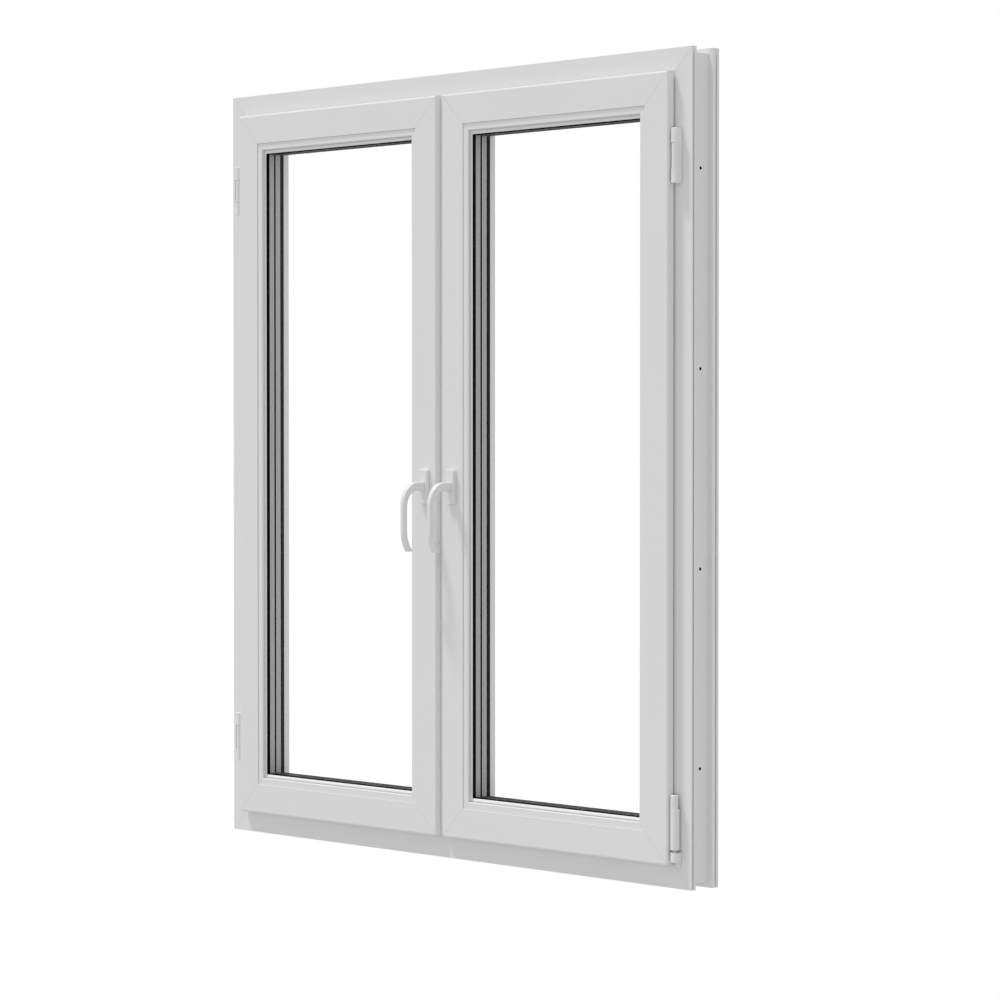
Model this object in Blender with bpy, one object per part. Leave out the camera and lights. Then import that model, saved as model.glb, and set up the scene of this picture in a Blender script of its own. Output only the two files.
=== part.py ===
"""Two-sash casement window that opens into the room, in metres with +Z up.

The outer frame stands on z = 0, centred on x = 0 and on y = 0, with its room face towards -y.
The left sash turns on two side hinges. The right sash turns on a top hinge and a corner
pivot, and tilts inwards about that pivot while a stay arm holds its top.

In the profiles, "inset" runs inwards from a piece's outer edge and "depth" runs from the
frame's room face towards the outside, so depths below zero stand proud into the room.
"""

import math

import bmesh
import bpy
from mathutils import Vector

# Overall sizes
FRAME_WIDTH = 1.300
FRAME_HEIGHT = 1.500
FRAME_DEPTH = 0.070
FIT = 0.0003  # gap between pieces that touch
MITRE_TRIM = 0.00022  # cut off each mitred end, so that two ends lie FIT apart
ARC_STEPS = 3  # straight pieces in each filleted corner
ROUND_SIDES = 16  # sides of a round pin, bore or stud

# Outer frame profile
FACE_WIDTH = 0.050
FLANGE_WIDTH = 0.067
FLANGE_THICK = 0.0155
RECESS = 0.010
RECESS_START = 0.0113
RECESS_END_MARGIN = 0.017
GROOVE = 0.008
GROOVE_WIDTH = 0.0033
FRONT_LIP = 0.0028
BACK_LIP = 0.0061
SOFT_EDGE = 0.0015
FIXING_RADIUS = 0.003
FIXING_DEPTH = 0.020
FIXING_COUNT = 4
FIXING_END = 0.2144
FIXING_INSET = 0.021  # depth of the fixing holes' axes from the recess's room-side edge

# Sash profile and its place in the frame
SASH_MARGIN = 0.042
SASH_GAP = 0.0174
SASH_PROUD = 0.0185
OUTER_CLEARANCE = 0.003
SEAL_SLOT = 0.003
OVERLAP = 0.020
SASH_FACE = 0.0587
SASH_SIGHT = 0.075
SASH_FLANGE = 0.0135
SASH_EDGE = 0.0035
HARDWARE_GROOVE = 0.0166
HARDWARE_GROOVE_START = 0.006
HARDWARE_GROOVE_DEEP = 0.004

# Glazing
PANE_THICK = 0.004
CAVITY = 0.012
PANE_INSET = 0.062
SPACER_INSET = 0.065
SPACER_SIGHT = 0.076
OUTER_GASKET = 0.0065
INNER_GASKET = 0.0035
GASKET_SIGHT = 0.0743
BEAD_SET_BACK = 0.002
BEAD_WIDTH = 0.013
BEAD_LIP = 0.003
BEAD_LIP_THICK = 0.0012

# Seal of the overlap
SEAL_START = 0.004
SEAL_END = 0.010
SEAL_THICK = 0.0009

# Handles
HANDLE_HEIGHT = 0.7115
ROSETTE_WIDTH = 0.024
ROSETTE_HEIGHT = 0.066
ROSETTE_THICK = 0.008
ROSETTE_CORNER = 0.004
ROSETTE_BEVEL = 0.0012
SPINDLE_HALF = 0.0035
SPINDLE_BORE = 0.0053
LEVER_ROOT_HALF_WIDTH = 0.0065
LEVER_ROOT_HALF_THICK = 0.0088
LEVER_ROOT_REACH = 0.026
LEVER_BEND_OUT = 0.0295
LEVER_BEND_DOWN = 0.038
LEVER_HALF_WIDTH = 0.0055
LEVER_HALF_THICK = 0.0053
LEVER_STRAIGHT_END = -0.085
LEVER_TIP_BEND = 0.062
LEVER_TIP_ANGLE = math.radians(39)
LEVER_TIP_HALF_THICK = 0.0054
LEVER_EDGE = 0.0030

# Lock gear
GEARBOX_THICK = 0.012
GEARBOX_HALF_HEIGHT = 0.070
GEARBOX_BACK = 0.013  # how far the case goes past the spindle's axis
LOCK_BAR_THICK = 0.0024
LOCK_BAR_END = 0.100  # from the sash's ends to the bar's ends
CAM_RADIUS = 0.004
CAM_REACH = 0.0084  # how far the cams stand out of the sash's side
CAM_END = 0.130
KEEP_THICK = 0.002
KEEP_HALF_HEIGHT = 0.045
KEEP_FENCE = 0.0035

# Hinges
HINGE_HEIGHT = 0.098
HINGE_END = 0.102  # from the sash's end to the nearest end of the hinge
HINGE_OFFSET = 0.0104  # from the sash's edge to the hinge's axis
HINGE_DEPTH = -0.0094
HINGE_FAR = 0.0185  # from the sash's edge to the bracket's far side
HINGE_NEAR = 0.0033
HINGE_FRONT = -0.0166
HINGE_ROUND = 0.005
BRACKET_PLATE = 0.0015
BRACKET_WEB = 0.0008
END_KNUCKLE = 0.026
KNUCKLE_GAP = 0.0004
BRACKET_WRAP = 0.0048  # how far short of the axis the bracket's front edge stops
KNUCKLE_RADIUS = 0.007
KNUCKLE_EDGE = 0.0010
PIN_RADIUS = 0.003
PIN_COVER = 0.003
LEAF_THICK = 0.0011
LEAF_NECK = 0.0018
LEAF_DEEP = 0.024
LEAF_END_MARGIN = 0.004

# Corner pivot of the right sash
PIVOT_HEIGHT = 0.014  # tilt axis above the sash's lower edge
BEARING_TOP = 0.024
BEARING_FOOT = 0.0065
BEARING_PLATE_DROP = 0.0032
BEARING_PLATE = 0.0025
PIVOT_RADIUS = 0.003
PIVOT_FOOT = 0.005
PIVOT_TOP = 0.023  # above the tilt axis
COLLAR_RADIUS = 0.005
COLLAR_THICK = 0.0027
SLEEVE_START = 0.0286
SLEEVE_HEIGHT = 0.098
SLEEVE_STEP = 0.0248
SLEEVE_HALF_WIDTH = 0.0074
SLEEVE_FRONT = -0.0072
SLEEVE_BACK = 0.0074
SLEEVE_STEP_IN = 0.0016
SLEEVE_ROUND = 0.005
SLEEVE_BORE_HALF = 0.0036
SLEEVE_BORE_BACK = 0.0059
SLEEVE_BORE_DEEP = 0.012

# Stay arm of the right sash
STAY_LENGTH = 0.350
STAY_WIDTH = 0.016
STAY_THICK = 0.0025
STAY_CLEARANCE = 0.0035
STAY_DROP_INSET = 0.014
STAY_DROP_THICK = 0.0018
STAY_DROP_DEEP = 0.0110
STUD_RADIUS = 0.006
STUD_DIP = 0.0015

# Worked-out places
ROOM_Y = -FRAME_DEPTH / 2
FRAME_RECT = (-FRAME_WIDTH / 2, FRAME_WIDTH / 2, 0.0, FRAME_HEIGHT)
FLANGE_DEPTH = FRAME_DEPTH - FLANGE_THICK
SASH_BACK = FLANGE_DEPTH - OUTER_CLEARANCE
SASH_BOTTOM = SASH_MARGIN
SASH_TOP = FRAME_HEIGHT - SASH_MARGIN
SASH_OUTER = FRAME_WIDTH / 2 - SASH_MARGIN
SASH_INNER = SASH_GAP / 2
REBATE = FACE_WIDTH - SASH_MARGIN  # the frame's rebate base, as an inset of the sash
PACK_BACK = SASH_BACK - SASH_FLANGE - OUTER_GASKET
PACK_FRONT = PACK_BACK - 3 * PANE_THICK - 2 * CAVITY
BEAD_BACK = PACK_FRONT - INNER_GASKET
BEAD_FRONT = BEAD_SET_BACK - SASH_PROUD
GROOVE_FLOOR = OVERLAP + HARDWARE_GROOVE_DEEP
HARDWARE_MIDDLE = HARDWARE_GROOVE_START + HARDWARE_GROOVE / 2
HANDLE_INSET = SASH_FACE / 2
SLOT_DEPTH = -SEAL_SLOT / 2
LEAF_DEPTH = -0.0004 - LEAF_THICK
TILT_AXIS_Z = SASH_BOTTOM + PIVOT_HEIGHT


class Side:
    """One half of the window. sign is -1 on the left and 1 on the right."""

    def __init__(self, name, sign):
        self.name = name
        self.sign = sign
        low, high = sorted((sign * SASH_INNER, sign * SASH_OUTER))
        self.rect = (low, high, SASH_BOTTOM, SASH_TOP)
        self.hinge_stile = "left" if sign < 0 else "right"
        self.lock_stile = "right" if sign < 0 else "left"

    def hinge_x(self, inset):
        """x at an inset from the sash's hinge edge; below zero lies outside the sash."""
        return self.sign * (SASH_OUTER - inset)

    def lock_x(self, inset):
        """x at an inset from the sash's lock edge."""
        return self.sign * (SASH_INNER + inset)

    @property
    def hinge_axis(self):
        return Vector((self.hinge_x(-HINGE_OFFSET), ROOM_Y + HINGE_DEPTH, 0.0))

    @property
    def handle_axis(self):
        return Vector((self.lock_x(HANDLE_INSET), ROOM_Y - SASH_PROUD, HANDLE_HEIGHT))


LEFT = Side("left", -1)
RIGHT = Side("right", 1)


# Scene helpers


def clear_scene():
    for obj in list(bpy.data.objects):
        bpy.data.objects.remove(obj)


def make_material(name, colour, roughness, metallic=0.0, alpha=1.0):
    material = bpy.data.materials.new(name)
    material.use_nodes = True
    shader = material.node_tree.nodes["Principled BSDF"]
    shader.inputs["Base Color"].default_value = (*colour, 1.0)
    shader.inputs["Roughness"].default_value = roughness
    shader.inputs["Metallic"].default_value = metallic
    shader.inputs["Alpha"].default_value = alpha
    return material


def make_body(name, location=(0, 0, 0), parent=None):
    """An empty on a body's joint axis, which carries the body's pieces."""
    empty = bpy.data.objects.new(name, None)
    bpy.context.scene.collection.objects.link(empty)
    empty["axis_point"] = tuple(location)
    empty.parent = parent
    base = Vector(parent["axis_point"]) if parent else Vector()
    empty.location = Vector(location) - base
    return empty


def make_object(name, vertices, faces, material, body):
    """A mesh object made from world-space vertices, with its origin on its body's axis."""
    base = Vector(body["axis_point"])
    mesh = bpy.data.meshes.new(name)
    mesh.from_pydata([Vector(v) - base for v in vertices], [], faces)
    shell = bmesh.new()
    shell.from_mesh(mesh)
    bmesh.ops.recalc_face_normals(shell, faces=shell.faces)
    shell.to_mesh(mesh)
    shell.free()
    mesh.shade_smooth()
    mesh.set_sharp_from_angle(angle=math.radians(35))
    if material:
        mesh.materials.append(material)
    obj = bpy.data.objects.new(name, mesh)
    bpy.context.scene.collection.objects.link(obj)
    obj.parent = body
    return obj


def loft(name, rings, material, body, closed=False):
    """Joins equal rings of points, one after another, and caps the ends unless closed."""
    size = len(rings[0])
    vertices = [point for ring in rings for point in ring]
    count = len(rings)
    faces = []
    for i in range(count if closed else count - 1):
        here, there = i * size, (i + 1) % count * size
        for j in range(size):
            k = (j + 1) % size
            faces.append((here + j, here + k, there + k, there + j))
    if not closed:
        faces.append(tuple(range(size)))
        faces.append(tuple(range((count - 1) * size, count * size)))
    return make_object(name, vertices, faces, material, body)


def helper(obj):
    """Marks an object that only shapes another one."""
    obj.hide_render = True
    obj.display_type = "WIRE"
    return obj


def combine(target, tool, operation):
    modifier = target.modifiers.new(operation.title() + " " + tool.name, "BOOLEAN")
    modifier.operation = operation
    modifier.object = helper(tool)


def cut(target, tool):
    combine(target, tool, "DIFFERENCE")


def join(target, tool):
    combine(target, tool, "UNION")


# Outlines and simple solids


def outline(corners, steps=ARC_STEPS):
    """Points of a polygon whose corners are (a, b, fillet radius)."""
    points = []
    for index, (a, b, radius) in enumerate(corners):
        here = Vector((a, b))
        if radius == 0:
            points.append(here)
            continue
        to_last = (Vector(corners[index - 1][:2]) - here).normalized()
        to_next = (Vector(corners[(index + 1) % len(corners)][:2]) - here).normalized()
        half = to_last.angle(to_next) / 2
        middle = here + (to_last + to_next).normalized() * (radius / math.sin(half))
        start = here + to_last * (radius / math.tan(half)) - middle
        end = here + to_next * (radius / math.tan(half)) - middle
        turn = math.atan2(start.x * end.y - start.y * end.x, start.dot(end))
        for step in range(steps + 1):
            angle = turn * step / steps
            x = start.x * math.cos(angle) - start.y * math.sin(angle)
            y = start.x * math.sin(angle) + start.y * math.cos(angle)
            points.append(middle + Vector((x, y)))
    return points


def rounded_rect(half_a, half_b, radius, steps=ARC_STEPS):
    corners = [(-half_a, -half_b), (half_a, -half_b), (half_a, half_b), (-half_a, half_b)]
    return outline([(a, b, radius) for a, b in corners], steps)


def circle(radius):
    turns = [2 * math.pi * i / ROUND_SIDES for i in range(ROUND_SIDES)]
    return [(radius * math.cos(t), radius * math.sin(t)) for t in turns]


def box(name, x, y, z, material, body):
    """A block between the given pairs of world coordinates."""
    rings = [[(a, b, c) for a, b in ((x[0], y[0]), (x[1], y[0]), (x[1], y[1]), (x[0], y[1]))] for c in z]
    return loft(name, rings, material, body)


def upright(name, points, levels, material, body):
    """A solid on a plan outline, given in world x and y, between z levels."""
    return loft(name, [[(p[0], p[1], z) for p in points] for z in levels], material, body)


def rod(name, centre, radius, ends, axis, material, body):
    """A round bar along a world axis ("x", "y" or "z") between two coordinates on it."""
    rings = []
    for end in ends:
        ring = []
        for a, b in circle(radius):
            if axis == "x":
                ring.append((end, centre[0] + a, centre[1] + b))
            elif axis == "y":
                ring.append((centre[0] + a, end, centre[1] + b))
            else:
                ring.append((centre[0] + a, centre[1] + b, end))
        rings.append(ring)
    return loft(name, rings, material, body)


def corner_points(rect, inset):
    """A rectangle's corners in the wall plane, anticlockwise from the lower left."""
    x0, x1, z0, z1 = rect
    return [
        Vector((x0 + inset, z0 + inset)),
        Vector((x1 - inset, z0 + inset)),
        Vector((x1 - inset, z1 - inset)),
        Vector((x0 + inset, z1 - inset)),
    ]


def mitred_bar(name, rect, side, profile, material, body):
    """One bar of a mitred rectangle, from a profile of (inset, depth) points."""
    first = ("bottom", "right", "top", "left").index(side)
    rings = [[], []]
    for inset, depth in profile:
        corners = corner_points(rect, inset)
        start, end = corners[first], corners[(first + 1) % 4]
        along = (end - start).normalized() * MITRE_TRIM
        for ring, point in zip(rings, (start + along, end - along)):
            ring.append((point.x, ROOM_Y + depth, point.y))
    return loft(name, rings, material, body)


def mitred_set(prefix, names, rect, profile, material, body):
    """The four bars of a mitred rectangle. names maps each side to its own word."""
    return {
        side: mitred_bar(f"{prefix}_{word}", rect, side, profile, material, body)
        for side, word in names.items()
    }


def border(name, rect, insets, depths, material, body):
    """A rectangular band between two insets and two depths."""
    section = [(i, d) for i, d in zip((insets[0], insets[1], insets[1], insets[0]), sorted(depths * 2))]
    rings = []
    for corner in range(4):
        ring = []
        for inset, depth in section:
            point = corner_points(rect, inset)[corner]
            ring.append((point.x, ROOM_Y + depth, point.y))
        rings.append(ring)
    return loft(name, rings, material, body, closed=True)


# Profiles


def frame_profile():
    """The outer frame's section: two pairs of lips with grooves, a recess, and a flange."""
    recess_end = FRAME_DEPTH - RECESS_END_MARGIN
    back_groove = FRAME_DEPTH - BACK_LIP - GROOVE_WIDTH
    return outline(
        [
            (0, 0, 0.0008),
            (0, FRONT_LIP, 0),
            (GROOVE, FRONT_LIP, 0),
            (GROOVE, FRONT_LIP + GROOVE_WIDTH, 0),
            (0, FRONT_LIP + GROOVE_WIDTH, 0),
            (0, RECESS_START, 0),
            (RECESS, RECESS_START, 0),
            (RECESS, recess_end, 0),
            (0, recess_end, 0),
            (0, back_groove, 0),
            (GROOVE, back_groove, 0),
            (GROOVE, back_groove + GROOVE_WIDTH, 0),
            (0, back_groove + GROOVE_WIDTH, 0),
            (0, FRAME_DEPTH, 0.0008),
            (FLANGE_WIDTH, FRAME_DEPTH, SOFT_EDGE),
            (FLANGE_WIDTH, FLANGE_DEPTH, 0),
            (FACE_WIDTH, FLANGE_DEPTH, 0),
            (FACE_WIDTH, 0, SOFT_EDGE),
        ]
    )


def sash_profile():
    """A sash bar's section, with its overlap, hardware groove and glazing rebate."""
    groove_end = HARDWARE_GROOVE_START + HARDWARE_GROOVE
    flange_front = SASH_BACK - SASH_FLANGE
    return outline(
        [
            (0, -SASH_PROUD, SASH_EDGE),
            (0, -SEAL_SLOT, 0.0008),
            (OVERLAP, -SEAL_SLOT, 0),
            (OVERLAP, HARDWARE_GROOVE_START, 0),
            (GROOVE_FLOOR, HARDWARE_GROOVE_START, 0),
            (GROOVE_FLOOR, groove_end, 0),
            (OVERLAP, groove_end, 0),
            (OVERLAP, SASH_BACK, SOFT_EDGE),
            (SASH_SIGHT, SASH_BACK, SOFT_EDGE),
            (SASH_SIGHT, flange_front, 0),
            (SASH_FACE, flange_front, 0),
            (SASH_FACE, -SASH_PROUD, 0.001),
        ]
    )


def bead_profile():
    """A glazing bead's section: a rounded front and a thin lip towards the glass."""
    start = SASH_FACE + FIT
    end = start + BEAD_WIDTH
    lip_front = BEAD_BACK - BEAD_LIP_THICK
    return outline(
        [
            (start, BEAD_FRONT, 0),
            (start, BEAD_BACK, 0),
            (end + BEAD_LIP, BEAD_BACK, 0),
            (end + BEAD_LIP, lip_front, 0),
            (end, lip_front, 0),
            (end, BEAD_FRONT, SOFT_EDGE),
        ]
    )


# Outer frame


def build_frame(body, plastic, steel):
    names = {"bottom": "sill", "right": "jamb_right", "top": "head", "left": "jamb_left"}
    bars = mitred_set("frame", names, FRAME_RECT, frame_profile(), plastic, body)
    for side, sign in (("left", -1), ("right", 1)):
        for index in range(FIXING_COUNT):
            drill_fixing(bars[side], sign, index, body)
    build_mullion(body, plastic)
    for side in (LEFT, RIGHT):
        build_keep(side, body, steel)


def drill_fixing(jamb, sign, index, body):
    """A blind screw hole in the floor of a jamb's outer recess."""
    pitch = (FRAME_HEIGHT - 2 * FIXING_END) / (FIXING_COUNT - 1)
    height = FIXING_END + index * pitch
    floor = FRAME_WIDTH / 2 - RECESS
    ends = [sign * (floor + FIXING_DEPTH / 4), sign * (floor - FIXING_DEPTH)]
    centre = (ROOM_Y + RECESS_START + FIXING_INSET, height)
    drill = rod(f"{jamb.name}_drill_{index}", centre, FIXING_RADIUS, ends, "x", None, body)
    cut(jamb, drill)


def build_mullion(body, plastic):
    """The fixed post behind the gap between the sashes, notched round the frame's flanges."""
    stem = SASH_GAP / 2 + REBATE
    flange = stem + FLANGE_WIDTH - FACE_WIDTH
    corners = [
        (-stem, 0, SOFT_EDGE),
        (stem, 0, SOFT_EDGE),
        (stem, FLANGE_DEPTH, 0),
        (flange, FLANGE_DEPTH, 0),
        (flange, FRAME_DEPTH, SOFT_EDGE),
        (-flange, FRAME_DEPTH, SOFT_EDGE),
        (-flange, FLANGE_DEPTH, 0),
        (-stem, FLANGE_DEPTH, 0),
    ]
    points = [(p[0], ROOM_Y + p[1]) for p in outline(corners)]
    levels = (FACE_WIDTH + FIT, FRAME_HEIGHT - FACE_WIDTH - FIT)
    mullion = upright("frame_mullion", points, levels, plastic, body)
    depth = (ROOM_Y + FLANGE_DEPTH - FIT, ROOM_Y + FRAME_DEPTH + FLANGE_THICK)
    reach = FLANGE_WIDTH + FIT
    ends = {"lower": (0, reach), "upper": (FRAME_HEIGHT - reach, FRAME_HEIGHT)}
    for word, z in ends.items():
        cut(mullion, box(f"mullion_notch_{word}", (-2 * flange, 2 * flange), depth, z, None, body))


def build_keep(side, body, steel):
    """The steel keep on the mullion that the sash's cams run behind."""
    front = REBATE + FIT + KEEP_THICK
    x = sorted((side.lock_x(REBATE + FIT), side.lock_x(front)))
    y = (ROOM_Y + HARDWARE_GROOVE_START, ROOM_Y + HARDWARE_GROOVE_START + HARDWARE_GROOVE)
    z = (HANDLE_HEIGHT - KEEP_HALF_HEIGHT, HANDLE_HEIGHT + KEEP_HALF_HEIGHT)
    keep = box(f"{side.name}_keep", x, y, z, steel, body)
    fence_x = sorted((side.lock_x(REBATE + 2 * FIT), side.lock_x(front + KEEP_FENCE)))
    fence_y = (y[1] - KEEP_THICK, y[1] + KEEP_THICK)
    join(keep, box(f"{side.name}_keep_fence", fence_x, fence_y, z, None, body))


# Sashes


def build_sash(side, body, looks):
    names = {
        "bottom": "bottom_rail",
        "top": "top_rail",
        side.hinge_stile: "hinge_stile",
        side.lock_stile: "lock_stile",
    }
    bars = mitred_set(side.name, names, side.rect, sash_profile(), looks["plastic"], body)
    beads = {part: f"bead_{part}" for part in ("bottom", "right", "top", "left")}
    mitred_set(side.name, beads, side.rect, bead_profile(), looks["plastic"], body)
    build_glazing(side, body, looks)
    seal_depth = -SEAL_SLOT + FIT
    seal_depths = (seal_depth, seal_depth + SEAL_THICK)
    border(f"{side.name}_seal", side.rect, (SEAL_START, SEAL_END), seal_depths, looks["rubber"], body)
    build_gearbox(side, bars[side.lock_stile], body, looks["steel"])
    build_rosette(side, body, looks["metal"])


def build_glazing(side, body, looks):
    """A triple-glazed unit between an inner and an outer gasket."""
    x0, x1, z0, z1 = side.rect
    x = (x0 + PANE_INSET, x1 - PANE_INSET)
    z = (z0 + PANE_INSET, z1 - PANE_INSET)
    front = PACK_FRONT
    for word in ("inner", "middle", "outer"):
        back = front + PANE_THICK
        box(f"{side.name}_pane_{word}", x, (ROOM_Y + front, ROOM_Y + back), z, looks["glass"], body)
        if word != "outer":
            depths = (back + FIT, back + CAVITY - FIT)
            name = f"{side.name}_spacer_{word}"
            border(name, side.rect, (SPACER_INSET, SPACER_SIGHT), depths, looks["spacer"], body)
        front = back + CAVITY
    insets = (PANE_INSET, GASKET_SIGHT)
    gaskets = {
        "inner": (BEAD_BACK + FIT, PACK_FRONT - FIT),
        "outer": (PACK_BACK + FIT, SASH_BACK - SASH_FLANGE - FIT),
    }
    for word, depths in gaskets.items():
        border(f"{side.name}_gasket_{word}", side.rect, insets, depths, looks["rubber"], body)


def build_gearbox(side, stile, body, steel):
    """The gear case in the lock stile, with the pocket and the spindle's hole that it needs."""
    front = HARDWARE_GROOVE_START + 2 * FIT
    x = sorted((side.lock_x(GROOVE_FLOOR + FIT), side.lock_x(HANDLE_INSET + GEARBOX_BACK)))
    y = (ROOM_Y + front, ROOM_Y + front + GEARBOX_THICK)
    z = (HANDLE_HEIGHT - GEARBOX_HALF_HEIGHT, HANDLE_HEIGHT + GEARBOX_HALF_HEIGHT)
    case = box(f"{side.name}_gearbox", x, y, z, steel, body)
    pocket_x = sorted((side.lock_x(OVERLAP - FIT), side.lock_x(HANDLE_INSET + GEARBOX_BACK + FIT)))
    pocket_y = (y[0] - FIT, y[1] + FIT)
    pocket_z = (z[0] - FIT, z[1] + FIT)
    cut(stile, box(f"{side.name}_gear_pocket", pocket_x, pocket_y, pocket_z, None, body))
    centre = (side.handle_axis.x, side.handle_axis.z)
    bore_ends = (ROOM_Y - 2 * SASH_PROUD, (y[0] + y[1]) / 2)
    cut(stile, rod(f"{side.name}_spindle_hole", centre, SPINDLE_BORE + FIT, bore_ends, "y", None, body))
    case_ends = (y[0] - GEARBOX_THICK, y[1] + GEARBOX_THICK)
    cut(case, rod(f"{side.name}_case_bore", centre, SPINDLE_BORE, case_ends, "y", None, body))


def build_rosette(side, body, metal):
    """The plate under the lever, with a bevelled front and a round hole for the spindle."""
    axis = side.handle_axis
    half_width, half_height = ROSETTE_WIDTH / 2, ROSETTE_HEIGHT / 2
    rings = []
    for out, inset in ((FIT, 0), (ROSETTE_THICK - ROSETTE_BEVEL, 0), (ROSETTE_THICK, ROSETTE_BEVEL)):
        points = rounded_rect(half_width - inset, half_height - inset, ROSETTE_CORNER - inset)
        rings.append([(axis.x + a, axis.y - out, axis.z + b) for a, b in points])
    rosette = loft(f"{side.name}_handle_rosette", rings, metal, body)
    ends = (axis.y - 2 * ROSETTE_THICK, axis.y + ROSETTE_THICK)
    hole = rod(f"{side.name}_rosette_hole", (axis.x, axis.z), SPINDLE_BORE, ends, "y", None, body)
    cut(rosette, hole)


# Handles and lock bars


def lever_stations():
    """Sections of a lever as (out, height, turn, half thickness, half width, fillet).

    out is the distance from the sash's face, and turn is the angle from the vertical of the
    section's thickness direction.
    """
    quarter = math.pi / 2
    spindle_end = -(SASH_PROUD + HARDWARE_GROOVE_START + GEARBOX_THICK)
    shoulder = ROSETTE_THICK + FIT
    spindle = (0, 0, SPINDLE_HALF, SPINDLE_HALF, SPINDLE_HALF / 6)
    root = (0, 0, LEVER_ROOT_HALF_THICK, LEVER_ROOT_HALF_WIDTH, LEVER_EDGE)
    stations = [(spindle_end, *spindle), (shoulder, *spindle), (shoulder, *root), (LEVER_ROOT_REACH, *root)]
    bend_steps = 8
    for step in range(1, bend_steps + 1):
        share = step / bend_steps
        turn = quarter * share
        out = LEVER_ROOT_REACH + LEVER_BEND_OUT * math.sin(turn)
        height = -LEVER_BEND_DOWN * (1 - math.cos(turn))
        thick = LEVER_ROOT_HALF_THICK + (LEVER_HALF_THICK - LEVER_ROOT_HALF_THICK) * share
        width = LEVER_ROOT_HALF_WIDTH + (LEVER_HALF_WIDTH - LEVER_ROOT_HALF_WIDTH) * share
        stations.append((out, height, turn, thick, width, LEVER_EDGE))
    bar_out = LEVER_ROOT_REACH + LEVER_BEND_OUT
    stations.append((bar_out, LEVER_STRAIGHT_END, quarter, LEVER_HALF_THICK, LEVER_HALF_WIDTH, LEVER_EDGE))
    tip_steps = 6
    for step in range(1, tip_steps + 1):
        share = step / tip_steps
        angle = LEVER_TIP_ANGLE * share
        lean = angle * (1 - share**2)
        out = bar_out - LEVER_TIP_BEND * (1 - math.cos(angle))
        height = LEVER_STRAIGHT_END - LEVER_TIP_BEND * math.sin(angle)
        thick = LEVER_HALF_THICK + (LEVER_TIP_HALF_THICK - LEVER_HALF_THICK) * share
        thick /= math.cos(angle - lean)
        stations.append((out, height, quarter + lean, thick, LEVER_HALF_WIDTH, LEVER_EDGE))
    return stations


def build_lever(side, body, metal):
    """The lever, its bent grip and the square spindle that is fixed in it."""
    axis = side.handle_axis
    rings = []
    for out, height, turn, half_thick, half_width, fillet in lever_stations():
        ring = []
        for a, b in rounded_rect(half_width, half_thick, fillet):
            y = axis.y - out - b * math.sin(turn)
            ring.append((axis.x + a, y, axis.z + height + b * math.cos(turn)))
        rings.append(ring)
    loft(f"{side.name}_handle_lever", rings, metal, body)


def build_lock_bar(side, body, steel):
    """The sliding bar in the lock stile's groove, with its round cams."""
    back = GROOVE_FLOOR - FIT
    x = sorted((side.lock_x(back - LOCK_BAR_THICK), side.lock_x(back)))
    middle = ROOM_Y + HARDWARE_MIDDLE
    half = HARDWARE_GROOVE / 2 - FIT
    z = (SASH_BOTTOM + LOCK_BAR_END, SASH_TOP - LOCK_BAR_END)
    bar = box(f"{side.name}_lock_bar", x, (middle - half, middle + half), z, steel, body)
    cam_ends = (side.lock_x(back - LOCK_BAR_THICK / 2), side.lock_x(OVERLAP - CAM_REACH))
    heights = (SASH_BOTTOM + CAM_END, HANDLE_HEIGHT, SASH_TOP - CAM_END)
    for index, height in enumerate(heights):
        name = f"{side.name}_lock_cam_{index}"
        join(bar, rod(name, (middle, height), CAM_RADIUS, cam_ends, "x", None, body))


# Hinges


def bracket_outline(side):
    """The plan outline of a hinge's end knuckle, flat against the frame and round in front."""
    near, far = side.hinge_x(-HINGE_NEAR), side.hinge_x(-HINGE_FAR)
    front, back = ROOM_Y + HINGE_FRONT, ROOM_Y - FIT
    corners = [(near, back, 0.0005), (near, front, HINGE_ROUND), (far, front, HINGE_ROUND), (far, back, 0.0005)]
    return outline(corners)


def shrunk(points, inset):
    """The outline drawn in towards its middle, for a softened end."""
    middle = sum(points, Vector((0, 0))) / len(points)
    reach = max((p - middle).length for p in points)
    return [middle + (p - middle) * (1 - inset / reach) for p in points]


def softened(name, points, z, ends, material, body):
    """An upright solid whose "lower" and "upper" ends, where listed, have a soft edge."""
    rings = []
    for word, level, inward in (("lower", z[0], 1), ("upper", z[1], -1)):
        pair = [(points, level)]
        if word in ends:
            pair = [(shrunk(points, KNUCKLE_EDGE), level), (points, level + inward * KNUCKLE_EDGE)]
        rings += pair if inward > 0 else pair[::-1]
    solid = [[(p[0], p[1], level) for p in ring] for ring, level in rings]
    return loft(name, solid, material, body)


def build_bracket(name, side, z, body, metal):
    """The frame's half of a hinge: two end knuckles on a back plate and a side web."""
    bracket = softened(name, bracket_outline(side), z, ("lower", "upper"), metal, body)
    levels = (z[0] + END_KNUCKLE, z[1] - END_KNUCKLE)
    x = sorted((side.hinge_x(-HINGE_OFFSET - BRACKET_WRAP), side.hinge_x(HINGE_FAR)))
    y = (ROOM_Y + 2 * HINGE_FRONT, ROOM_Y - FIT - BRACKET_PLATE)
    cut(bracket, box(f"{name}_opening", x, y, levels, None, body))
    cut(bracket, rod(f"{name}_seat", side.hinge_axis, KNUCKLE_RADIUS + FIT, levels, "z", None, body))
    ends = (z[0] + PIN_COVER, z[1] - PIN_COVER)
    cut(bracket, rod(f"{name}_bore", side.hinge_axis, PIN_RADIUS + FIT, ends, "z", None, body))


def build_pin(name, side, z, body, steel):
    ends = (z[0] + PIN_COVER + FIT, z[1] - PIN_COVER - FIT)
    rod(name, side.hinge_axis, PIN_RADIUS, ends, "z", steel, body)


def knuckle_levels(z):
    return (z[0] + END_KNUCKLE + KNUCKLE_GAP, z[1] - END_KNUCKLE - KNUCKLE_GAP)


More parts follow.
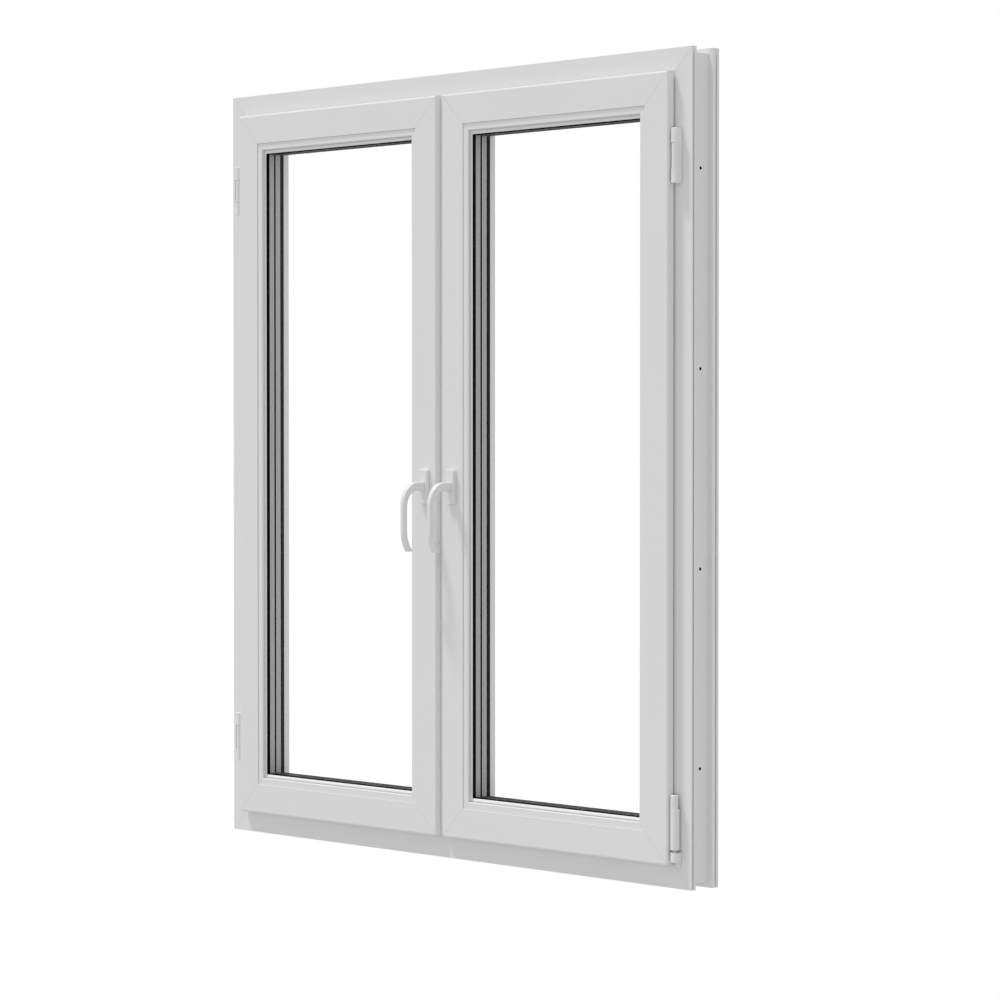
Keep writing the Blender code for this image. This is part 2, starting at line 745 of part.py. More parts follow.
def neck_points(side, end_inset):
    """Plan outline of the strip from a knuckle, past the sash's edge, into the overlap slot."""
    near, far = -LEAF_NECK / 2 - 0.0020, LEAF_NECK / 2 - 0.0020
    start = HINGE_DEPTH
    slot_front, slot_back = LEAF_DEPTH, LEAF_DEPTH + LEAF_THICK
    corners = [(near, start), (far, start), (far, slot_front), (end_inset, slot_front)]
    corners += [(end_inset, slot_back), (near, slot_back)]
    return [(side.hinge_x(inset), ROOM_Y + depth) for inset, depth in corners]


def web_points(side):
    """Plan outline of the short link between a knuckle's side and its neck."""
    inner, outer = -HINGE_OFFSET + PIN_RADIUS + 2 * FIT, -0.0020
    half = LEAF_NECK / 2
    corners = [(inner, HINGE_DEPTH - half), (outer, HINGE_DEPTH - half)]
    corners += [(outer, HINGE_DEPTH + half), (inner, HINGE_DEPTH + half)]
    return [(side.hinge_x(inset), ROOM_Y + depth) for inset, depth in corners]


def add_leaf(knuckle, side, levels, body):
    """Joins to a knuckle the neck, slot strip and rebate plate that carry the sash."""
    name = knuckle.name
    plate = OVERLAP - FIT - LEAF_NECK
    join(knuckle, upright(f"{name}_web", web_points(side), levels, None, body))
    join(knuckle, upright(f"{name}_neck", neck_points(side, plate + LEAF_NECK / 2), levels, None, body))
    x = sorted((side.hinge_x(plate), side.hinge_x(plate + LEAF_NECK)))
    y = (ROOM_Y + LEAF_DEPTH, ROOM_Y + LEAF_DEEP)
    join(knuckle, box(f"{name}_plate", x, y, levels, None, body))


def build_leaf(name, side, z, body, metal):
    """The sash's half of a side hinge: a bored knuckle with its leaf."""
    levels = knuckle_levels(z)
    axis = side.hinge_axis
    knuckle = rod(name, axis, KNUCKLE_RADIUS, levels, "z", metal, body)
    add_leaf(knuckle, side, (levels[0] + FIT, levels[1] - FIT), body)
    reach = (z[0], z[1])
    cut(knuckle, rod(f"{name}_bore", axis, PIN_RADIUS + FIT, reach, "z", None, body))


def build_side_hinges(side, frame_body, sash_body, metal, steel):
    """The two hinges of a sash that only turns."""
    lower = SASH_BOTTOM + HINGE_END
    upper = SASH_TOP - HINGE_END - HINGE_HEIGHT
    for word, base in (("lower", lower), ("upper", upper)):
        z = (base, base + HINGE_HEIGHT)
        build_bracket(f"{side.name}_hinge_bracket_{word}", side, z, frame_body, metal)
        build_pin(f"{side.name}_hinge_pin_{word}", side, z, frame_body, steel)
        build_leaf(f"{side.name}_hinge_leaf_{word}", side, z, sash_body, metal)


def build_corner_pivot(side, frame_body, pivot_body, sash_body, metal, steel):
    """The bearing, pivot and sleeve at the foot of a sash that turns and tilts."""
    axis = side.hinge_axis
    base = SASH_BOTTOM
    bearing_top = base + BEARING_TOP
    name = f"{side.name}_corner_bearing"
    levels = (base + BEARING_FOOT, bearing_top)
    bearing = softened(name, bracket_outline(side), levels, ("lower",), metal, frame_body)
    inward = BEARING_PLATE / 2
    plate_x = sorted((side.hinge_x(-HINGE_NEAR - inward), side.hinge_x(inward - HINGE_FAR)))
    plate_y = (ROOM_Y - FIT - BEARING_PLATE, ROOM_Y - FIT - FIT)
    plate_z = (base - BEARING_PLATE_DROP, bearing_top - BEARING_PLATE)
    join(bearing, box(f"{name}_plate", plate_x, plate_y, plate_z, None, frame_body))
    foot = TILT_AXIS_Z - PIVOT_FOOT
    bore_ends = (foot, bearing_top + BEARING_TOP)
    cut(bearing, rod(f"{side.name}_bearing_bore", axis, PIVOT_RADIUS + FIT, bore_ends, "z", None, frame_body))
    collar = (bearing_top + FIT, bearing_top + FIT + COLLAR_THICK)
    rings = []
    steps = [(foot + FIT, PIVOT_RADIUS), (collar[0], PIVOT_RADIUS), (collar[0], COLLAR_RADIUS)]
    steps += [(collar[1], COLLAR_RADIUS), (collar[1], PIVOT_RADIUS), (TILT_AXIS_Z + PIVOT_TOP, PIVOT_RADIUS)]
    for level, radius in steps:
        rings.append([(axis.x + a, axis.y + b, level) for a, b in circle(radius)])
    loft(f"{side.name}_corner_pivot", rings, steel, pivot_body)
    build_sleeve(side, base + SLEEVE_START, sash_body, metal)


def sleeve_outline(side, step_in):
    """The sleeve's plan outline, drawn in by step_in behind and on the side away from the sash."""
    near = side.hinge_x(-HINGE_OFFSET + SLEEVE_HALF_WIDTH)
    far = side.hinge_x(-HINGE_OFFSET - SLEEVE_HALF_WIDTH + step_in)
    front = side.hinge_axis.y + SLEEVE_FRONT
    back = side.hinge_axis.y + SLEEVE_BACK - step_in
    corners = [(near, back), (near, front), (far, front), (far, back)]
    return outline([(a, b, SLEEVE_ROUND) for a, b in corners])


def build_sleeve(side, base, body, metal):
    """The sash's sleeve over the pivot, narrower above, with a slotted bore below."""
    name = f"{side.name}_corner_sleeve"
    axis = side.hinge_axis
    top = base + SLEEVE_HEIGHT
    step = top - SLEEVE_STEP
    sleeve = upright(name, sleeve_outline(side, 0), (base, step), metal, body)
    upper = (step - SLEEVE_STEP, top)
    join(sleeve, softened(f"{name}_upper", sleeve_outline(side, SLEEVE_STEP_IN), upper, ("upper",), None, body))
    leaf_levels = (base + LEAF_END_MARGIN, step - LEAF_END_MARGIN)
    add_leaf(sleeve, side, leaf_levels, body)
    x = (axis.x - SLEEVE_BORE_HALF, axis.x + SLEEVE_BORE_HALF)
    y = (axis.y - SLEEVE_BORE_HALF, axis.y + SLEEVE_BORE_BACK)
    z = (base - SLEEVE_BORE_DEEP, base + SLEEVE_BORE_DEEP)
    cut(sleeve, box(f"{name}_bore", x, y, z, None, body))


def build_stay(side, frame_body, stay_body, metal, steel):
    """The top hinge of the tilting sash, whose middle knuckle carries the stay arm."""
    z = (SASH_TOP - HINGE_END - HINGE_HEIGHT, SASH_TOP - HINGE_END)
    build_bracket(f"{side.name}_hinge_bracket_upper", side, z, frame_body, metal)
    build_pin(f"{side.name}_hinge_pin_upper", side, z, frame_body, steel)
    name = f"{side.name}_stay_arm"
    axis = side.hinge_axis
    levels = knuckle_levels(z)
    arm = rod(name, axis, KNUCKLE_RADIUS, levels, "z", steel, stay_body)
    strip = (levels[0] + FIT, levels[1] - FIT)
    join(arm, upright(f"{name}_web", web_points(side), strip, None, stay_body))
    drop = STAY_DROP_INSET
    neck = neck_points(side, drop + STAY_DROP_THICK / 2)
    join(arm, upright(f"{name}_neck", neck, strip, None, stay_body))
    bar_z = SASH_TOP - OVERLAP + STAY_CLEARANCE
    drop_x = sorted((side.hinge_x(drop), side.hinge_x(drop + STAY_DROP_THICK)))
    drop_y = (ROOM_Y + LEAF_DEPTH, ROOM_Y + STAY_DROP_DEEP)
    drop_z = (strip[0], bar_z + STAY_THICK)
    join(arm, box(f"{name}_drop", drop_x, drop_y, drop_z, None, stay_body))
    middle = ROOM_Y + HARDWARE_MIDDLE
    tip = STAY_LENGTH - HINGE_OFFSET
    bar_x = sorted((side.hinge_x(drop), side.hinge_x(tip)))
    bar_y = (middle - STAY_WIDTH / 2, middle + STAY_WIDTH / 2)
    join(arm, box(f"{name}_bar", bar_x, bar_y, (bar_z, bar_z + STAY_THICK), None, stay_body))
    stud_ends = (SASH_TOP - OVERLAP - STUD_DIP, bar_z + STAY_THICK)
    stud_centre = (side.hinge_x(tip), middle)
    join(arm, rod(f"{name}_stud", stud_centre, STUD_RADIUS, stud_ends, "z", None, stay_body))
    cut(arm, rod(f"{name}_bore", axis, PIN_RADIUS + FIT, z, "z", None, stay_body))


def main():
    clear_scene()
    looks = {
        "plastic": make_material("white_plastic", (0.80, 0.80, 0.79), 0.35),
        "glass": make_material("clear_glass", (0.90, 0.95, 0.93), 0.05, alpha=0.2),
        "spacer": make_material("spacer_metal", (0.50, 0.51, 0.52), 0.45, 0.9),
        "rubber": make_material("black_rubber", (0.01, 0.01, 0.01), 0.7),
        "metal": make_material("white_coated_metal", (0.80, 0.80, 0.79), 0.3),
        "steel": make_material("zinc_steel", (0.55, 0.56, 0.58), 0.35, 1.0),
    }
    tilt_axis = Vector((0, 0, TILT_AXIS_Z))
    frame = make_body("frame_body")
    left_sash = make_body("left_sash_body", LEFT.hinge_axis, frame)
    left_handle = make_body("left_handle_body", LEFT.handle_axis, left_sash)
    left_lock = make_body("left_lock_body", LEFT.handle_axis, left_sash)
    right_pivot = make_body("right_pivot_body", RIGHT.hinge_axis, frame)
    right_sash = make_body("right_sash_body", RIGHT.hinge_axis + tilt_axis, right_pivot)
    right_stay = make_body("right_stay_body", RIGHT.hinge_axis, right_pivot)
    right_handle = make_body("right_handle_body", RIGHT.handle_axis, right_sash)
    right_lock = make_body("right_lock_body", RIGHT.handle_axis, right_sash)
    build_frame(frame, looks["plastic"], looks["steel"])
    for side, sash, handle, lock in (
        (LEFT, left_sash, left_handle, left_lock),
        (RIGHT, right_sash, right_handle, right_lock),
    ):
        build_sash(side, sash, looks)
        build_lever(side, handle, looks["metal"])
        build_lock_bar(side, lock, looks["steel"])
    build_side_hinges(LEFT, frame, left_sash, looks["metal"], looks["steel"])
    build_corner_pivot(RIGHT, frame, right_pivot, right_sash, looks["metal"], looks["steel"])
    build_stay(RIGHT, frame, right_stay, looks["metal"], looks["steel"])


main()
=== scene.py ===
"""Looks of the two-sash casement window: materials, fine detail, light and camera."""

import math

import bmesh
import bpy
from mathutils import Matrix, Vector


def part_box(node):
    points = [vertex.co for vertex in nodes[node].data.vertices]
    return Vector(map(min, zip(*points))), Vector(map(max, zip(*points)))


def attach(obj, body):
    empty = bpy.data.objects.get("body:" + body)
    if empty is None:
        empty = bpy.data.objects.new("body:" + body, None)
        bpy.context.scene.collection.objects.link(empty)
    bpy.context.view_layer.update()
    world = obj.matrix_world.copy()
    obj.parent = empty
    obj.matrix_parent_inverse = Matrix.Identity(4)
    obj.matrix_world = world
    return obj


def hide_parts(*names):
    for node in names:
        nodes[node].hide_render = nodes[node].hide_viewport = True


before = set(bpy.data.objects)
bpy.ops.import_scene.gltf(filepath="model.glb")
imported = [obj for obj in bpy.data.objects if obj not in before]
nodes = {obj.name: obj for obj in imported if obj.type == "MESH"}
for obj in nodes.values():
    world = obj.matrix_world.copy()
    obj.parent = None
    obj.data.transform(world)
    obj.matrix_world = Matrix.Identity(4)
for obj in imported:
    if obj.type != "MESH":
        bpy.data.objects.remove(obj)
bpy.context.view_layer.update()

# Names, and measures in metres in the frame of the CAD

SIDES = ("left", "right")
PANES = ("inner", "middle", "outer")
SPACERS = ("inner", "middle")
ROOM_Y = -0.035  # the frame's room-side face
HOLE_HEIGHTS = (0.2144, 0.5715, 0.9285, 1.2856)
HOLE_DEPTH = -0.0027
HOLE_REACH = 0.0036
STAY_COAT_BACK = -0.0370  # the stay's knuckle is coated in front of this depth
UPRIGHT_LIMIT = 0.7  # a face whose normal rises or drops more than this lies flat
SHARP_ANGLE = math.radians(35)

BAND = 0.0145
BAND_GAP = 0.0001
RAIL_EXTRA = 0.0045  # how much deeper the glazing edge is along the rails

SPACER_HIGH = 0.011
RIM_DEPTH = 0.0013
RIM_HIGH = 0.00025

LIP_SIDE = 0.0008
LIP_RAIL = 0.0042
LIP_TUCK = 0.0008
LIP_THICK = 0.0030
LIP_FOOT = 0.0003
LIP_CURVE = 1.3
LIP_STEPS = 5

STRIP_HALF = 0.0084
STRIP_PROUD = 0.0060
STRIP_ROUND = 0.0006
STRIP_SINK = 0.0002
STRIP_ENDS = (0.0435, 1.4565)
STRIP_STEPS = 5

SKY_LEVEL = 0.635
SUN_DIRECTION = (0.325, 0.2415, -0.914)
SUN_STRENGTH = 1.8
SUN_ANGLE = math.radians(7)
CAMERA_PLACE = (4.82172, -4.39791, 0.81415)
CAMERA_DOWN = 1.1307  # degrees below the horizon
CAMERA_TURN = 46.948  # degrees
FOCAL_PIXELS = 3397.04
IMAGE_PIXELS = 1000
SENSOR = 36


# Node helpers


def new_material(name):
    material = bpy.data.materials.new(name)
    material.use_nodes = True
    tree = material.node_tree
    tree.nodes.clear()
    return material, tree


def link(tree, source, target):
    tree.links.new(source, target)


def node(tree, kind, **settings):
    made = tree.nodes.new(kind)
    for key, value in settings.items():
        setattr(made, key, value)
    return made


def noise(tree, coords, scale, detail=3.0, roughness=0.5):
    made = node(tree, "ShaderNodeTexNoise")
    made.inputs["Scale"].default_value = scale
    made.inputs["Detail"].default_value = detail
    made.inputs["Roughness"].default_value = roughness
    link(tree, coords, made.inputs["Vector"])
    return made.outputs["Fac"]


def ramp(tree, value, low, high):
    """Maps 0..1 linearly to low..high."""
    made = node(tree, "ShaderNodeMapRange")
    made.inputs["To Min"].default_value = low
    made.inputs["To Max"].default_value = high
    link(tree, value, made.inputs["Value"])
    return made.outputs["Result"]


def object_coords(tree, scale=(1, 1, 1)):
    coords = node(tree, "ShaderNodeTexCoord")
    mapping = node(tree, "ShaderNodeMapping")
    mapping.inputs["Scale"].default_value = scale
    link(tree, coords.outputs["Object"], mapping.inputs["Vector"])
    return mapping.outputs["Vector"]


def bumped(tree, heights, distance, strength=1.0, normal=None):
    made = node(tree, "ShaderNodeBump")
    made.inputs["Distance"].default_value = distance
    made.inputs["Strength"].default_value = strength
    link(tree, heights, made.inputs["Height"])
    if normal:
        link(tree, normal, made.inputs["Normal"])
    return made.outputs["Normal"]


def surface(tree, **inputs):
    """Ends the material in a Principled shader whose sockets take values or node outputs."""
    shader = node(tree, "ShaderNodeBsdfPrincipled")
    output = node(tree, "ShaderNodeOutputMaterial")
    for key, value in inputs.items():
        socket = shader.inputs[key.replace("_", " ")]
        if isinstance(value, bpy.types.NodeSocket):
            link(tree, value, socket)
        else:
            socket.default_value = value
    link(tree, shader.outputs[0], output.inputs["Surface"])
    return shader


def grey(tree, value, tint=(1.0, 1.0, 1.0)):
    """A colour from a grey value, times a tint."""
    made = node(tree, "ShaderNodeCombineColor")
    for channel, share in zip(("Red", "Green", "Blue"), tint):
        scaled = node(tree, "ShaderNodeMath", operation="MULTIPLY")
        scaled.inputs[1].default_value = share
        link(tree, value, scaled.inputs[0])
        link(tree, scaled.outputs[0], made.inputs[channel])
    return made.outputs[0]


# Materials


def white_plastic(name, along):
    """Extruded white plastic: faint draw lines along the bar and a fine orange peel."""
    material, tree = new_material(name)
    squeeze = {"X": (0.02, 1, 1), "Z": (1, 1, 0.02)}[along]
    lines = noise(tree, object_coords(tree, squeeze), 900, 2.0)
    peel = noise(tree, object_coords(tree), 420, 2.0)
    cloud = noise(tree, object_coords(tree), 3.0, 2.0)
    normal = bumped(tree, peel, 0.00002, 0.5)
    normal = bumped(tree, lines, 0.00001, 0.4, normal)
    colour = grey(tree, ramp(tree, cloud, 0.835, 0.855), (1.0, 1.0, 0.998))
    surface(
        tree,
        Base_Color=colour,
        Roughness=ramp(tree, peel, 0.36, 0.46),
        Specular_IOR_Level=0.35,
        Normal=normal,
    )
    return material


def white_coat(name):
    """Powder coat with a fine, soft grain."""
    material, tree = new_material(name)
    grain = noise(tree, object_coords(tree), 1500, 3.0)
    cloud = noise(tree, object_coords(tree), 25, 2.0)
    surface(
        tree,
        Base_Color=grey(tree, ramp(tree, cloud, 0.84, 0.855)),
        Roughness=ramp(tree, grain, 0.26, 0.36),
        Specular_IOR_Level=0.45,
        Normal=bumped(tree, grain, 0.00001, 0.5),
    )
    return material


def soft_rubber(name, low, high):
    """Matt rubber with a fine grain, between two grey levels."""
    material, tree = new_material(name)
    grain = noise(tree, object_coords(tree), 2200, 2.0)
    surface(
        tree,
        Base_Color=grey(tree, ramp(tree, grain, low, high)),
        Roughness=ramp(tree, grain, 0.6, 0.75),
        Specular_IOR_Level=0.2,
        Normal=bumped(tree, grain, 0.00002, 0.6),
    )
    return material


def zinc_steel(name):
    """Zinc-plated steel with brush lines up the part and dull patches."""
    material, tree = new_material(name)
    grain = noise(tree, object_coords(tree, (1, 1, 0.03)), 1800, 3.0)
    patches = noise(tree, object_coords(tree), 60, 2.0)
    surface(
        tree,
        Base_Color=grey(tree, ramp(tree, patches, 0.5, 0.62), (1.0, 1.0, 1.02)),
        Metallic=1.0,
        Roughness=ramp(tree, grain, 0.28, 0.42),
        Normal=bumped(tree, grain, 0.00002, 0.4),
    )
    return material


def clear_glass(name):
    """Clear coated glass: fully see-through, with a faint rippled reflection."""
    material, tree = new_material(name)
    clear = node(tree, "ShaderNodeBsdfTransparent")
    clear.inputs["Color"].default_value = (1, 1, 1, 1)
    gloss = node(tree, "ShaderNodeBsdfGlossy")
    gloss.inputs["Roughness"].default_value = 0.02
    waves = noise(tree, object_coords(tree), 2.0, 1.0)
    link(tree, bumped(tree, waves, 0.0002, 0.2), gloss.inputs["Normal"])
    facing = node(tree, "ShaderNodeFresnel")
    facing.inputs["IOR"].default_value = 1.25
    link(tree, grey(tree, facing.outputs[0], (0.1, 0.1, 0.1)), gloss.inputs["Color"])
    both = node(tree, "ShaderNodeAddShader")
    link(tree, clear.outputs[0], both.inputs[0])
    link(tree, gloss.outputs[0], both.inputs[1])
    output = node(tree, "ShaderNodeOutputMaterial")
    link(tree, both.outputs[0], output.inputs["Surface"])
    return material


def make_sealant_and_shade_band(name):
    """A black band round a pane: partly the dark sealant, partly painted shade of the rebate seen through
    the glass edge.
    """
    material, tree = new_material(name)
    grain = noise(tree, object_coords(tree), 900, 2.0)
    surface(
        tree,
        Base_Color=grey(tree, ramp(tree, grain, 0.004, 0.009)),
        Roughness=ramp(tree, grain, 0.5, 0.65),
        Specular_IOR_Level=0.02,
        Normal=bumped(tree, grain, 0.00003, 0.4),
    )
    return material


def spacer_metal(name, low, high, gloss=0.3):
    """Matt aluminium with a fine grain and faint speckles that stand for its perforations."""
    material, tree = new_material(name)
    grain = noise(tree, object_coords(tree), 2500, 2.0)
    dots = node(tree, "ShaderNodeTexVoronoi", feature="DISTANCE_TO_EDGE")
    dots.inputs["Scale"].default_value = 420
    link(tree, object_coords(tree), dots.inputs["Vector"])
    speckle = ramp(tree, dots.outputs["Distance"], 0.82, 1.05)
    shade = node(tree, "ShaderNodeMath", operation="MULTIPLY")
    link(tree, ramp(tree, grain, low, high), shade.inputs[0])
    link(tree, speckle, shade.inputs[1])
    surface(
        tree,
        Base_Color=grey(tree, shade.outputs[0]),
        Metallic=gloss / 2,
        Roughness=ramp(tree, grain, 0.45, 0.6),
        Specular_IOR_Level=gloss,
        Normal=bumped(tree, grain, 0.00002, 0.5),
    )
    return material


def hole_painted_shade(name):
    """Painted shade: near-black colour for the unlit inside of a drilled hole in the white plastic."""
    material, tree = new_material(name)
    grain = noise(tree, object_coords(tree), 900, 2.0)
    surface(
        tree,
        Base_Color=grey(tree, ramp(tree, grain, 0.01, 0.03)),
        Roughness=ramp(tree, grain, 0.6, 0.8),
        Specular_IOR_Level=0.2,
    )
    return material


plastic = {"X": white_plastic("plastic_across", "X"), "Z": white_plastic("plastic_up", "Z")}
coat = white_coat("coat")
rubber = soft_rubber("rubber", 0.006, 0.012)
pale_rubber = soft_rubber("pale_rubber", 0.60, 0.68)
steel = zinc_steel("zinc")
glass = clear_glass("glass")
# a black band: the dark sealant and the painted shade of the rebate behind the pane edges
sealant_and_shade_band = make_sealant_and_shade_band("sealant_and_painted_shade")
spacer = spacer_metal("spacer", 0.53, 0.61)
# Lighter copy of the spacer metal: painted highlight along the folded rims
spacer_rim_highlight = spacer_metal("spacer_rim_highlight", 0.74, 0.82)
# Near-black copy of the spacer metal: painted shade for the spacer faces that lie flat along the rails
spacer_painted_shade = spacer_metal("spacer_painted_shade", 0.025, 0.045, 0.02)
# near-black painted shade for the insides of the fixing holes
dark = hole_painted_shade("hole")


def dress(obj, material):
    obj.data.materials.clear()
    obj.data.materials.append(material)


def dress_some(obj, material, chosen):
    """Gives the faces that chosen(face, points) picks a second material."""
    obj.data.materials.append(material)
    slot = len(obj.data.materials) - 1
    for face in obj.data.polygons:
        if chosen(face, [obj.data.vertices[k].co for k in face.vertices]):
            face.material_index = slot


def lies_flat(face, points):
    return abs(face.normal.z) > UPRIGHT_LIMIT


def is_coated(face, points):
    return face.center.y < STAY_COAT_BACK


def in_hole(face, points):
    """True for a face whose points all lie on one fixing hole."""
    return any(
        all(abs(p.y - HOLE_DEPTH) < HOLE_REACH and abs(p.z - z) < HOLE_REACH for p in points)
        for z in HOLE_HEIGHTS
    )


for name, obj in nodes.items():
    if "pane" in name:
        dress(obj, glass)
    elif "spacer" in name:
        dress(obj, spacer)
    elif "gasket" in name:
        dress(obj, rubber)
    elif name.endswith("_seal"):
        dress(obj, pale_rubber)
    elif any(word in name for word in ("keep", "gearbox", "lock_bar", "pin_", "stay_arm", "corner_pivot")):
        dress(obj, steel)
    elif any(word in name for word in ("bracket", "leaf", "corner", "handle")):
        dress(obj, coat)
    elif any(word in name for word in ("head", "sill", "rail", "top", "bottom")):
        dress(obj, plastic["X"])
    else:
        dress(obj, plastic["Z"])

for name, obj in nodes.items():
    if name.startswith("frame_jamb"):
        # the fixing holes in the jambs take the painted shade
        dress_some(obj, dark, in_hole)
    elif "spacer" in name:
        # the spacer's flat-lying faces take the painted shade
        dress_some(obj, spacer_painted_shade, lies_flat)
dress_some(nodes["right_stay_arm"], coat, is_coated)


# Added pieces: panes, bands, spacer faces, sealing lips and the mullion strip


def make_mesh(name, vertices, faces, material, smooth=False):
    """A new object in the scene, with its faces turned outwards and one material."""
    mesh = bpy.data.meshes.new(name)
    mesh.from_pydata(vertices, [], faces)
    shell = bmesh.new()
    shell.from_mesh(mesh)
    bmesh.ops.recalc_face_normals(shell, faces=shell.faces)
    shell.to_mesh(mesh)
    shell.free()
    mesh.materials.append(material)
    if smooth:
        mesh.shade_smooth()
        mesh.set_sharp_from_angle(angle=SHARP_ANGLE)
    obj = bpy.data.objects.new(name, mesh)
    bpy.context.scene.collection.objects.link(obj)
    return obj


def ring_at(edge, across, up, y):
    """Four corners of an upright rectangle, drawn in from its edge (left, right, bottom, top)."""
    left, right, bottom, top = edge
    return [
        (left + across, y, bottom + up),
        (right - across, y, bottom + up),
        (right - across, y, top - up),
        (left + across, y, top - up),
    ]


def box_edge(low, high):
    return (low.x, high.x, low.z, high.z)


def frame_ring(name, low, high, insets, depths, material, rails=(0.0, RAIL_EXTRA)):
    """A closed rectangular ring between two insets from a box's edge."""
    vertices = []
    for inset, rail in zip(insets, rails):
        for y in depths:
            vertices += ring_at(box_edge(low, high), inset, inset + rail, y)
    faces = []
    for i in range(4):
        k = (i + 1) % 4
        faces.append((i, k, 4 + k, 4 + i))
        faces.append((8 + i, 12 + i, 12 + k, 8 + k))
        faces.append((i, 8 + i, 8 + k, k))
        faces.append((4 + i, 4 + k, 12 + k, 12 + i))
    return make_mesh(name, vertices, faces, material)


def pane(side, word):
    """A clear pane, with a black band between its edge and the sight line: partly the dark sealant, partly
    painted shade of the rebate seen through the glass edge.
    """
    cad = f"{side}_pane_{word}"
    low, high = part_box(cad)
    depths = (low.y, high.y)
    # the pane's border takes the black band of sealant and painted shade
    band = frame_ring(f"{cad}_band", low, high, (0, BAND), depths, sealant_and_shade_band)
    inset = BAND + BAND_GAP
    vertices = [p for y in depths for p in ring_at(box_edge(low, high), inset, inset + RAIL_EXTRA, y)]
    faces = [(0, 1, 2, 3), (7, 6, 5, 4)]
    faces += [(i, 4 + i, 4 + (i + 1) % 4, (i + 1) % 4) for i in range(4)]
    clear = make_mesh(f"{cad}_glass", vertices, faces, glass)
    clear.visible_diffuse = False
    clear.visible_shadow = False
    for piece, slot in ((band, "gasket_black"), (clear, "glass_clear")):
        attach(piece, f"{side}_sash")
    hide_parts(cad)


def spacer_channel(side, word):
    """The spacer's visible channel, and the two folded rims along its edges."""
    cad = f"{side}_spacer_{word}"
    low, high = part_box(cad)
    front, back = low.y + BAND_GAP, high.y - BAND_GAP
    inner = SPACER_HIGH + BAND_GAP
    channel = (SPACER_HIGH - RIM_DEPTH, inner)
    rim = (SPACER_HIGH, inner + RIM_HIGH)
    for label, insets, depths, metal, rails in (
        ("channel", channel, (front, back), spacer, (0.0, RAIL_EXTRA)),
        # the rims take the lighter metal, a painted highlight
        ("rim_front", rim, (front, low.y + RIM_DEPTH), spacer_rim_highlight, (RAIL_EXTRA, RAIL_EXTRA)),
        ("rim_back", rim, (high.y - RIM_DEPTH, back), spacer_rim_highlight, (RAIL_EXTRA, RAIL_EXTRA)),
    ):
        piece = frame_ring(f"{cad}_{label}", low, high, insets, depths, metal, rails)
        # the flat-lying faces take the painted shade
        dress_some(piece, spacer_painted_shade, lies_flat)
        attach(piece, f"{side}_sash")


def glazing_lip(side):
    """The pale sealing lip that the beads press on the glass, wider along the rails."""
    left, right = (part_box(f"{side}_bead_{word}") for word in ("left", "right"))
    top, bottom = (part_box(f"{side}_bead_{word}") for word in ("top", "bottom"))
    edge = (left[1].x, right[0].x, bottom[1].z, top[0].z)
    back = left[1].y - BAND_GAP
    rings = [ring_at(edge, -LIP_TUCK, -LIP_TUCK, y) for y in (back, back - LIP_THICK)]
    for step in range(LIP_STEPS + 1):
        share = step / LIP_STEPS
        rise = (LIP_THICK - LIP_FOOT) * (1 - share**LIP_CURVE)
        rings.append(ring_at(edge, LIP_SIDE * share, LIP_RAIL * share, back - LIP_FOOT - rise))
    rings.append(ring_at(edge, LIP_SIDE, LIP_RAIL, back))
    vertices = [p for ring in rings for p in ring]
    faces = []
    for i in range(len(rings)):
        k = (i + 1) % len(rings)
        for j in range(4):
            m = (j + 1) % 4
            faces.append((4 * i + j, 4 * i + m, 4 * k + m, 4 * k + j))
    lip = make_mesh(f"{side}_glazing_lip", vertices, faces, plastic["X"], smooth=True)
    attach(lip, f"{side}_sash")


def mullion_strip():
    """A round-edged cover strip down the mullion, in the gap between the sashes."""
    wall = ROOM_Y + STRIP_SINK
    front = ROOM_Y - STRIP_PROUD
    outline = [(-STRIP_HALF, wall)]
    for centre, start in ((-STRIP_HALF + STRIP_ROUND, 180), (STRIP_HALF - STRIP_ROUND, 270)):
        for step in range(STRIP_STEPS + 1):
            turn = math.radians(start + 90 * step / STRIP_STEPS)
            x = centre + STRIP_ROUND * math.cos(turn)
            outline.append((x, front + STRIP_ROUND + STRIP_ROUND * math.sin(turn)))
    outline.append((STRIP_HALF, wall))
    count = len(outline)
    vertices = [(x, y, z) for z in STRIP_ENDS for x, y in outline]
    faces = [tuple(range(count)), tuple(range(2 * count - 1, count - 1, -1))]
    faces += [(i, (i + 1) % count, count + (i + 1) % count, count + i) for i in range(count)]
    strip = make_mesh("mullion_strip", vertices, faces, plastic["Z"], smooth=True)
    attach(strip, "frame")


mullion_strip()
for side in SIDES:
    glazing_lip(side)
    for word in PANES:
        pane(side, word)
    for word in SPACERS:
        spacer_channel(side, word)


# Light, backdrop and camera


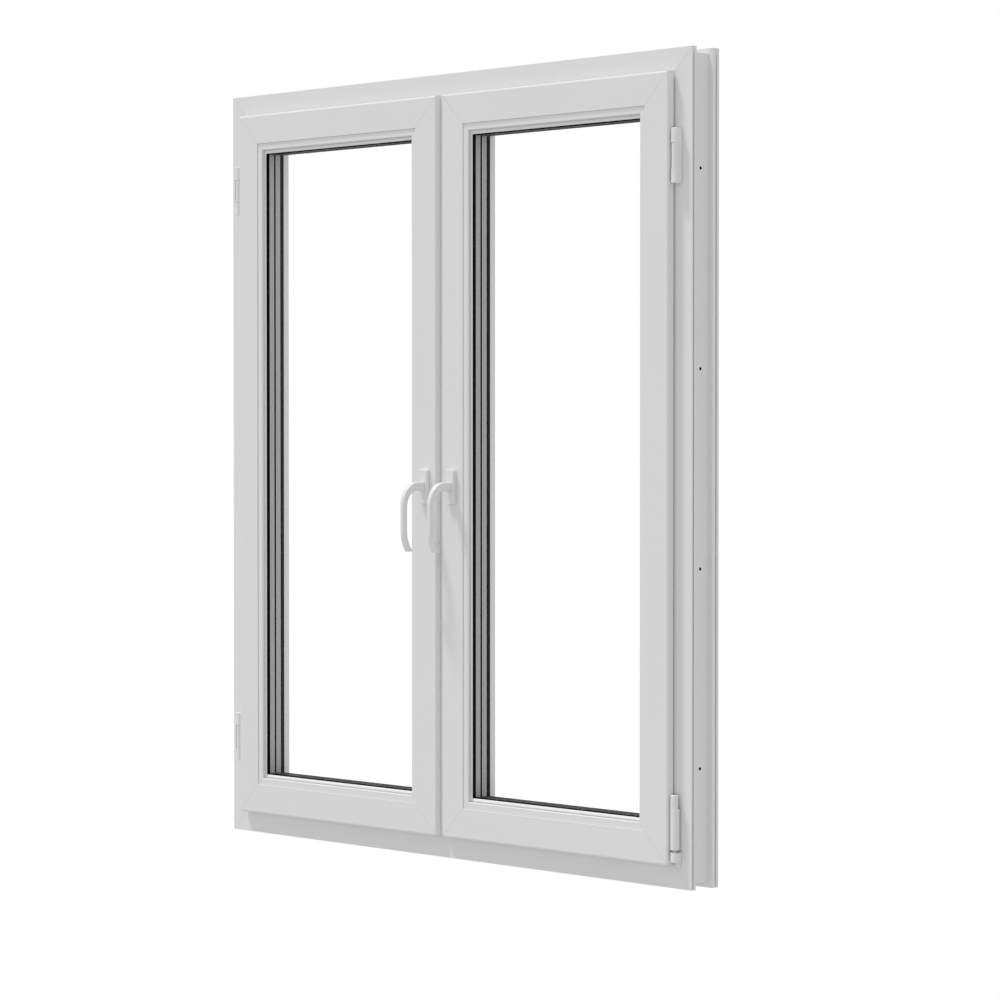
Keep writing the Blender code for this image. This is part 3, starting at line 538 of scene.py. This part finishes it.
def white_world():
    """Even light on the object, and plain white wherever a camera or glass ray leaves the scene."""
    world = bpy.data.worlds.new("studio")
    bpy.context.scene.world = world
    world.use_nodes = True
    tree = world.node_tree
    tree.nodes.clear()
    path = tree.nodes.new("ShaderNodeLightPath")
    lit = tree.nodes.new("ShaderNodeBackground")
    lit.inputs["Color"].default_value = (1, 1, 1, 1)
    lit.inputs["Strength"].default_value = SKY_LEVEL
    seen = tree.nodes.new("ShaderNodeBackground")
    seen.inputs["Color"].default_value = (1, 1, 1, 1)
    seen.inputs["Strength"].default_value = 1.0
    either = tree.nodes.new("ShaderNodeMath")
    either.operation = "MAXIMUM"
    tree.links.new(path.outputs["Is Camera Ray"], either.inputs[0])
    tree.links.new(path.outputs["Is Transmission Ray"], either.inputs[1])
    mixed = tree.nodes.new("ShaderNodeMixShader")
    output = tree.nodes.new("ShaderNodeOutputWorld")
    tree.links.new(either.outputs[0], mixed.inputs[0])
    tree.links.new(lit.outputs[0], mixed.inputs[1])
    tree.links.new(seen.outputs[0], mixed.inputs[2])
    tree.links.new(mixed.outputs[0], output.inputs["Surface"])


def sun(name, direction, strength, angle):
    lamp = bpy.data.lights.new(name, "SUN")
    lamp.energy = strength
    lamp.angle = angle
    obj = bpy.data.objects.new(name, lamp)
    bpy.context.scene.collection.objects.link(obj)
    obj.rotation_mode = "QUATERNION"
    obj.rotation_quaternion = Vector(direction).to_track_quat("-Z", "Y")


white_world()
sun("key", SUN_DIRECTION, SUN_STRENGTH, SUN_ANGLE)

camera_data = bpy.data.cameras.new("camera")
camera_data.sensor_width = SENSOR
camera_data.lens = FOCAL_PIXELS * SENSOR / IMAGE_PIXELS
camera_data.clip_start = 0.1
camera_data.clip_end = 100
camera = bpy.data.objects.new("camera", camera_data)
bpy.context.scene.collection.objects.link(camera)
camera.location = CAMERA_PLACE
camera.rotation_euler = (math.radians(90 - CAMERA_DOWN), 0, math.radians(CAMERA_TURN))
bpy.context.scene.camera = camera
bpy.context.scene.view_settings.view_transform = "Standard"
